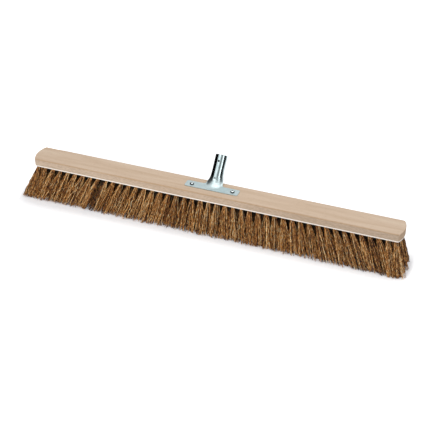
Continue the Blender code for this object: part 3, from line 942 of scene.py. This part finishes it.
def pale_floor():
    """A white sweep: it takes the object's shadow and is lifted to white for the camera."""
    made, tree, place = new_material("studio_floor")
    at = add_node(tree, "SeparateXYZ", {"Vector": place}).outputs

    # The lift grows with the distance from the line on which the bristles stand, and slightly
    # towards the right. It leaves the shadow as it is for 54 mm and is full at 1.6 m.
    along = add_node(tree, "Math", {0: at["X"]}, operation="ABSOLUTE")
    along = add_node(tree, "Math", {0: along, 1: cad_high.x - 0.06}, operation="SUBTRACT")
    along = add_node(tree, "Math", {0: along, 1: 0.0}, operation="MAXIMUM")
    away = add_node(tree, "CombineXYZ", {"X": along, "Y": at["Y"]})
    away = add_node(tree, "VectorMath", {0: away}, operation="LENGTH").outputs["Value"]
    away = add_node(tree, "Math", {0: at["X"], 1: 0.025, 2: away}, operation="MULTIPLY_ADD")
    away = add_node(tree, "MapRange", {"Value": away, "From Max": 1.6})
    lift = add_node(
        tree, "ValToRGB", {"Fac": away},
        stops=[
            (0.034, (0.05, 0.05, 0.055, 1)), (0.05, grey(0.24)),
            (0.08, grey(0.34)), (1.0, grey(0.55)),
        ],
    )

    # The shadow ends with the bristles, whose tips are centred 8 mm left of the block: beyond
    # either end of them the floor is white.
    beyond = add_node(tree, "Math", {0: at["X"], 1: 0.008}, operation="ADD")
    beyond = add_node(tree, "Math", {0: beyond}, operation="ABSOLUTE")
    beyond = add_node(
        tree, "MapRange", {"Value": beyond, "From Min": 0.527, "From Max": 0.547, "To Max": 0.5}
    )
    lift = add_node(tree, "VectorMath", {0: lift, 1: beyond}, operation="ADD")
    shader = add_node(
        tree, "BsdfPrincipled",
        {
            "Base Color": linear("#F7F8FA"), "Roughness": 0.9,
            "Emission Color": lift, "Emission Strength": looked_at(tree),
        },
    )
    add_node(tree, "OutputMaterial", {"Surface": shader})
    nothing_selected()
    bpy.ops.mesh.primitive_plane_add(size=30, location=(0, 0, cad_low.z - 0.0002))
    floor = named("floor")
    wear(floor, made)


def studio_air(strength):
    """A room that is white to look at and lights the object with this strength."""
    world = bpy.data.worlds.new("studio")
    bpy.context.scene.world = world
    world.use_nodes = True
    tree = world.node_tree
    tree.nodes.clear()
    level = {"Value": looked_at(tree), "To Min": strength, "To Max": 1.0}
    level = add_node(tree, "MapRange", level)
    light = add_node(tree, "Background", {"Color": (1, 1, 1, 1), "Strength": level})
    add_node(tree, "OutputWorld", {"Surface": light})


def softbox(name, at, towards, size, power, in_metal=False):
    """A lamp. Most don't show in the metal, where the cards show instead."""
    light = bpy.data.lights.new(name, "AREA")
    light.shape = "RECTANGLE"
    light.size, light.size_y = size
    light.energy = power
    lamp = bpy.data.objects.new(name, light)
    bpy.context.collection.objects.link(lamp)
    lamp.location = at
    lamp.rotation_euler = (Vector(towards) - Vector(at)).to_track_quat("-Z", "Y").to_euler()
    lamp.visible_glossy = in_metal
    lamp.visible_camera = False


def beside_tube(near, far):
    """Corners of a card whose two edges run along the handle tube's slope at these angles, in
    degrees round the tube from its front."""
    along = Vector((0, sin(TUBE_LEAN), cos(TUBE_LEAN))) * CARD_REACH
    edges = [on_tube(radians(turn), TUBE_LENGTH / 2, CARD_DISTANCE) for turn in (near, far)]
    return edges[0] - along, edges[0] + along, edges[1] - along, edges[1] + along


def lying(left, right, front, back):
    """Corners of a card that lies on the floor."""
    return [(x, y, CARD_LEVEL) for y in (front, back) for x in (left, right)]


def card(name, level, corners):
    """A card that shows only in the metal, bright or dark as the room is there."""
    nothing_selected()
    bpy.ops.mesh.primitive_plane_add(size=2)
    made = named(name)
    for vertex, corner in zip(made.data.vertices, corners):
        vertex.co = corner
    material, tree, _ = new_material(name)
    shader = add_node(
        tree, "BsdfPrincipled",
        {
            "Base Color": grey(0), "Roughness": 1.0, "Specular IOR Level": 0.0,
            "Emission Color": grey(1), "Emission Strength": level,
        },
    )
    add_node(tree, "OutputMaterial", {"Surface": shader})
    wear(made, material)
    made.visible_camera = made.visible_diffuse = False
    made.visible_shadow = made.visible_transmission = False


def set_camera():
    """Above and to the right, with a long lens, as the broom is usually shown."""
    turn, rise, distance = radians(20.71), radians(34.65), 2.812
    target = Vector((0.0079, 0, 0.0373))
    back = Vector((sin(turn) * cos(rise), -cos(turn) * cos(rise), sin(rise)))
    data = bpy.data.cameras.new("camera")
    data.lens = 91.09
    camera = bpy.data.objects.new("camera", data)
    bpy.context.collection.objects.link(camera)
    camera.location = target + back * distance
    camera.rotation_euler = (-back).to_track_quat("-Z", "Y").to_euler()
    bpy.context.scene.camera = camera


# ---------------------------------------------------------------- all together

wood = sanded_beech()
coir = coir_fibre()
zinc = bright_zinc("zinc_plated_steel", ("#B4C4C6", "#BFCDCF"), 0.42, 0.15)
# Near-black zinc for the tube's inside, the screw recesses and the flanks under the heads: painted
# shade.
shade_zinc = bright_zinc("zinc_painted_shade", ("#2C3233", "#3E4545"), 0.45, 0.5)
screw_zinc = bright_zinc("zinc_plated_screw", ("#C6CFD1", "#D6DDDF"), 0.18, 0.18)

make_block(wood)
make_bristles(coir)
make_socket(zinc, shade_zinc)
make_screw(-1, "screw_left", screw_zinc, shade_zinc)
make_screw(1, "screw_right", screw_zinc, shade_zinc)

pale_floor()
studio_air(0.5)
softbox("overhead", (0.3, -0.3, 2.4), (0.1, 0, 0.1), (3.4, 2.2), 35, in_metal=True)
softbox("front_left", (-0.2, -1.1, 0.5), (-0.2, 0, 0.1), (0.6, 0.6), 3.1)

# The tube and the screws mirror the room in bands: a dark room to both sides, behind and in
# front, and lit strips beside the tube. The cards for it stand well clear of the broom.
card("dark_left", 0.0, ((-0.75, -0.5, 0), (-0.75, -0.5, 0.85), (-0.75, 0.9, 0), (-0.75, 0.9, 0.5)))
card("dark_back_left", 0.0, lying(-0.75, -0.03, 0.12, 0.9))
card("bright_left", 1.4, beside_tube(-41, -16))
card("grey_front", 0.3, beside_tube(14, 38))
card("bright_right", 3.0, beside_tube(54, 70))
card("dark_right", 0.04, ((0.75, -0.16, 0), (0.75, -0.13, 0.5), (0.75, 0.7, 0), (0.75, 0.7, 0.3)))
card("dark_back_right", 0.04, lying(0.42, 0.75, 0.12, 0.6))
card("dark_front", 0.0, ((-0.9, -1.2, 0), (0.9, -1.2, 0), (-0.9, -1.2, 0.64), (0.9, -1.2, 0.64)))
set_camera()

bpy.context.scene.view_settings.view_transform = "Standard"
